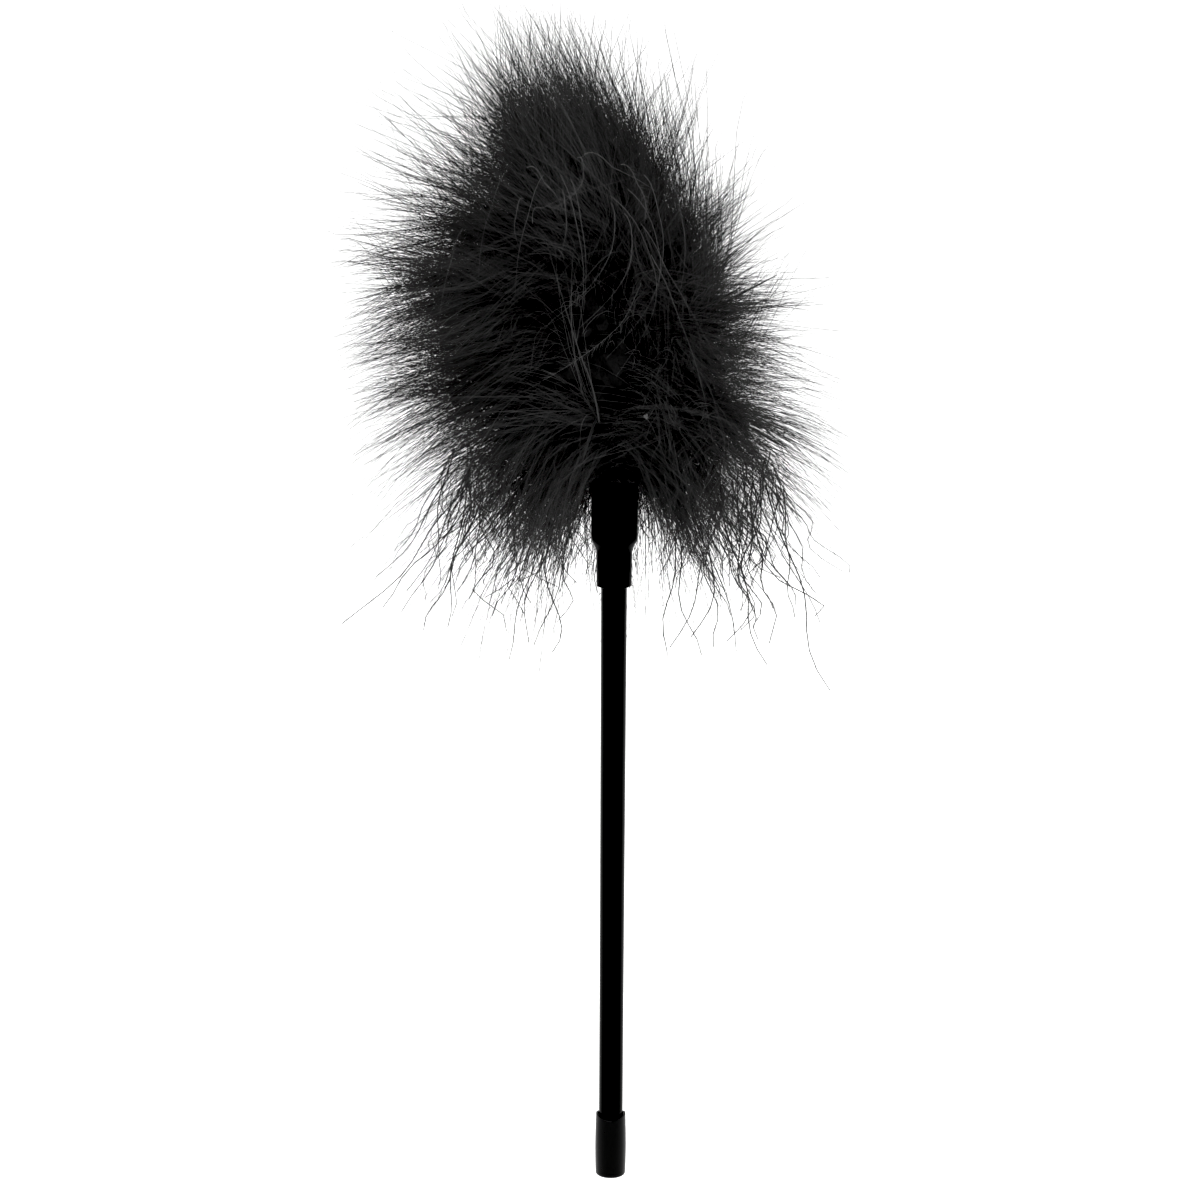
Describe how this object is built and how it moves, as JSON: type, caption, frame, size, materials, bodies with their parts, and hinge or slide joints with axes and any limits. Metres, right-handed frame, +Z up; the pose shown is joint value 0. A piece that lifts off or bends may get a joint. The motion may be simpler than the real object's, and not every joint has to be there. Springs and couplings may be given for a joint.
{
  "type": "feather duster",
  "caption": "Hand duster: a slim tapered rod with a slip-on end cap, a stepped sleeve and a full round head of fluffy marabou plumes.",
  "frame": {"origin": "centre of the end cap's flat butt face", "axes": "+Z up the rod from the butt to the feathers, -Y to the front"},
  "size_m": [0.1532, 0.1468, 0.3697],
  "materials": {
    "rod_plastic": "moulded black plastic rod, high gloss",
    "cap_vinyl": "dip-moulded soft black vinyl, satin",
    "sleeve_vinyl": "black vinyl ferrule, satin",
    "thread": "waxed black binding thread",
    "adhesive": "hardened amber adhesive",
    "quill": "black-dyed feather shaft, satin",
    "plume": "black-dyed marabou down"
  },
  "bodies": {
    "wand": {"adhesive_plug": "adhesive", "binding_thread": "thread", "plume_crown_19": "plume", "plume_crown_20": "plume", "plume_crown_21": "plume", "plume_crown_22": "plume", "plume_crown_23": "plume", "plume_crown_24": "plume", "plume_high_01": "plume", "plume_high_03": "plume", "plume_high_08": "plume", "plume_high_11": "plume", "plume_high_14": "plume", "plume_high_17": "plume", "plume_middle_05": "plume", "plume_middle_07": "plume", "plume_middle_10": "plume", "plume_middle_13": "plume", "plume_middle_16": "plume", "plume_middle_18": "plume", "plume_skirt_02": "plume", "plume_skirt_04": "plume", "plume_skirt_06": "plume", "plume_skirt_09": "plume", "plume_skirt_12": "plume", "plume_skirt_15": "plume", "quill_crown_19": "quill", "quill_crown_20": "quill", "quill_crown_21": "quill", "quill_crown_22": "quill", "quill_crown_23": "quill", "quill_crown_24": "quill", "quill_high_01": "quill", "quill_high_03": "quill", "quill_high_08": "quill", "quill_high_11": "quill", "quill_high_14": "quill", "quill_high_17": "quill", "quill_middle_05": "quill", "quill_middle_07": "quill", "quill_middle_10": "quill", "quill_middle_13": "quill", "quill_middle_16": "quill", "quill_middle_18": "quill", "quill_skirt_02": "quill", "quill_skirt_04": "quill", "quill_skirt_06": "quill", "quill_skirt_09": "quill", "quill_skirt_12": "quill", "quill_skirt_15": "quill", "rod": "rod_plastic", "sleeve": "sleeve_vinyl"},
    "end_cap": {"end_cap": "cap_vinyl"}
  },
  "joints": [
    {"name": "cap_pull", "type": "slide", "parent": "wand", "child": "end_cap", "axis": [0, 0, -1], "range_m": [0, 0.024]}
  ]
}
